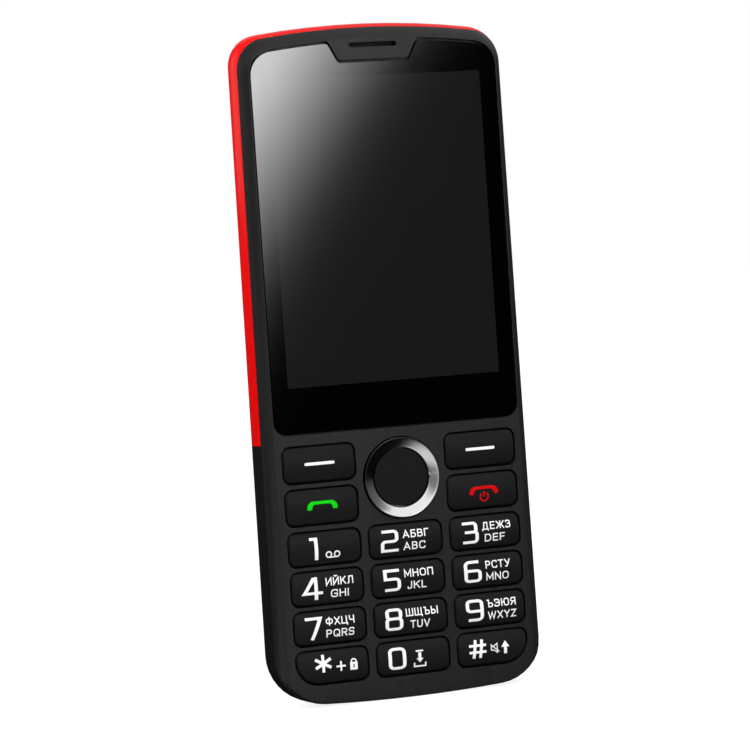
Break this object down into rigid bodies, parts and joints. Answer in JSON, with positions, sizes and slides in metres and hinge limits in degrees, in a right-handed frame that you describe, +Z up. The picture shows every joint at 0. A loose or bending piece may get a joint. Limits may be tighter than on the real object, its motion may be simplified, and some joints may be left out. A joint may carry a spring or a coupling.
{
  "type": "feature phone",
  "caption": "Bar-shaped feature phone with a number keypad, a silver direction ring, a tall dark display and a red rear cover that pulls off.",
  "frame": {"origin": "middle of the bottom edge, halfway between the front of the direction ring and the back", "axes": "+X to the phone's right as seen from the front, +Y from the front to the back, +Z up along the phone towards the earpiece"},
  "size_m": [0.0548, 0.0138, 0.1279],
  "materials": {
    "housing_black": "satin, faint vertical hairlines",
    "frame_black": "fine matt",
    "cover_red": "satin to gloss",
    "lens_glass": "polished, black printed border",
    "adhesive": "foam tape",
    "display_dark": "dark display, off",
    "backlight_alu": "plain sheet",
    "cable_amber": "flexible film",
    "mesh_black": "fine woven mesh",
    "key_black": "satin with printed legends",
    "ring_silver": "turned, circular hairlines",
    "sheet_steel": "plain sheet",
    "silicone": "soft matt",
    "sheet_clear": "milky film",
    "board_green": "solder mask",
    "part_black": "moulded",
    "contact_gold": "gold plated",
    "microphone_can": "plain",
    "light_guide": "clear moulded",
    "battery_grey": "can with a plain matt label"
  },
  "bodies": {
    "phone": {"front_housing": "housing_black", "display_lens": "lens_glass", "lens_adhesive": "adhesive", "display_panel": "display_dark", "backlight_frame": "backlight_alu", "display_cable": "cable_amber", "earpiece_mesh": "mesh_black", "earpiece_receiver": "sheet_steel", "keypad_mat": "silicone", "dome_sheet": "sheet_clear", "metal_domes": "sheet_steel", "main_board": "board_green", "shield_cans": "sheet_steel", "circuit_chips": "part_black", "sim_holders": "sheet_steel", "memory_card_holder": "sheet_steel", "battery_contacts": "contact_gold", "usb_socket": "sheet_steel", "headphone_socket": "part_black", "microphone": "microphone_can", "vibration_motor": "sheet_steel", "loudspeaker": "part_black", "speaker_mesh": "mesh_black", "camera_module": "part_black", "camera_window": "lens_glass", "torch_led": "light_guide", "antenna": "contact_gold", "rear_frame": "frame_black", "housing_screws": "sheet_steel"},
    "key_1": {"key_1": "key_black"},
    "key_2": {"key_2": "key_black"},
    "key_3": {"key_3": "key_black"},
    "key_4": {"key_4": "key_black"},
    "key_5": {"key_5": "key_black"},
    "key_6": {"key_6": "key_black"},
    "key_7": {"key_7": "key_black"},
    "key_8": {"key_8": "key_black"},
    "key_9": {"key_9": "key_black"},
    "key_star": {"key_star": "key_black"},
    "key_0": {"key_0": "key_black"},
    "key_hash": {"key_hash": "key_black"},
    "call_key": {"call_key": "key_black"},
    "end_key": {"end_key": "key_black"},
    "soft_key_left": {"soft_key_left": "key_black"},
    "soft_key_right": {"soft_key_right": "key_black"},
    "ok_key": {"ok_key": "key_black"},
    "nav_ring": {"nav_ring": "ring_silver"},
    "nav_carrier": {"nav_carrier": "sheet_steel"},
    "rear_cover": {"rear_cover": "cover_red"},
    "battery": {"battery": "battery_grey"}
  },
  "joints": [
    {"name": "key_1_press", "type": "slide", "parent": "phone", "child": "key_1", "axis": [0, 1, 0], "range_m": [0, 0.0003], "stiffness_N_per_m": 3000},
    {"name": "key_2_press", "type": "slide", "parent": "phone", "child": "key_2", "axis": [0, 1, 0], "range_m": [0, 0.0003], "stiffness_N_per_m": 3000},
    {"name": "key_3_press", "type": "slide", "parent": "phone", "child": "key_3", "axis": [0, 1, 0], "range_m": [0, 0.0003], "stiffness_N_per_m": 3000},
    {"name": "key_4_press", "type": "slide", "parent": "phone", "child": "key_4", "axis": [0, 1, 0], "range_m": [0, 0.0003], "stiffness_N_per_m": 3000},
    {"name": "key_5_press", "type": "slide", "parent": "phone", "child": "key_5", "axis": [0, 1, 0], "range_m": [0, 0.0003], "stiffness_N_per_m": 3000},
    {"name": "key_6_press", "type": "slide", "parent": "phone", "child": "key_6", "axis": [0, 1, 0], "range_m": [0, 0.0003], "stiffness_N_per_m": 3000},
    {"name": "key_7_press", "type": "slide", "parent": "phone", "child": "key_7", "axis": [0, 1, 0], "range_m": [0, 0.0003], "stiffness_N_per_m": 3000},
    {"name": "key_8_press", "type": "slide", "parent": "phone", "child": "key_8", "axis": [0, 1, 0], "range_m": [0, 0.0003], "stiffness_N_per_m": 3000},
    {"name": "key_9_press", "type": "slide", "parent": "phone", "child": "key_9", "axis": [0, 1, 0], "range_m": [0, 0.0003], "stiffness_N_per_m": 3000},
    {"name": "key_star_press", "type": "slide", "parent": "phone", "child": "key_star", "axis": [0, 1, 0], "range_m": [0, 0.0003], "stiffness_N_per_m": 3000},
    {"name": "key_0_press", "type": "slide", "parent": "phone", "child": "key_0", "axis": [0, 1, 0], "range_m": [0, 0.0003], "stiffness_N_per_m": 3000},
    {"name": "key_hash_press", "type": "slide", "parent": "phone", "child": "key_hash", "axis": [0, 1, 0], "range_m": [0, 0.0003], "stiffness_N_per_m": 3000},
    {"name": "call_key_press", "type": "slide", "parent": "phone", "child": "call_key", "axis": [0, 1, 0], "range_m": [0, 0.0003], "stiffness_N_per_m": 3000},
    {"name": "end_key_press", "type": "slide", "parent": "phone", "child": "end_key", "axis": [0, 1, 0], "range_m": [0, 0.0003], "stiffness_N_per_m": 3000},
    {"name": "soft_key_left_press", "type": "slide", "parent": "phone", "child": "soft_key_left", "axis": [0, 1, 0], "range_m": [0, 0.0003], "stiffness_N_per_m": 3000},
    {"name": "soft_key_right_press", "type": "slide", "parent": "phone", "child": "soft_key_right", "axis": [0, 1, 0], "range_m": [0, 0.0003], "stiffness_N_per_m": 3000},
    {"name": "ok_key_press", "type": "slide", "parent": "phone", "child": "ok_key", "axis": [0, 1, 0], "range_m": [0, 0.0003], "stiffness_N_per_m": 3000},
    {"name": "nav_up_down", "type": "hinge", "parent": "phone", "child": "nav_carrier", "pos_m": [0, -0.00382, 0.04176], "axis": [1, 0, 0], "range_deg": [-2, 2], "stiffness_Nm_per_rad": 0.2},
    {"name": "nav_left_right", "type": "hinge", "parent": "nav_carrier", "child": "nav_ring", "pos_m": [0, -0.00382, 0.04176], "axis": [0, 0, 1], "range_deg": [-2, 2], "stiffness_Nm_per_rad": 0.2},
    {"name": "rear_cover_off", "type": "slide", "parent": "phone", "child": "rear_cover", "axis": [0, 1, 0], "range_m": [0, 0.03]},
    {"name": "battery_out", "type": "slide", "parent": "phone", "child": "battery", "axis": [0, 1, 0], "range_m": [0, 0.015]}
  ],
  "couplings": [
    {"joint": "battery_out", "follows": "rear_cover_off", "ratio": 0.5}
  ]
}
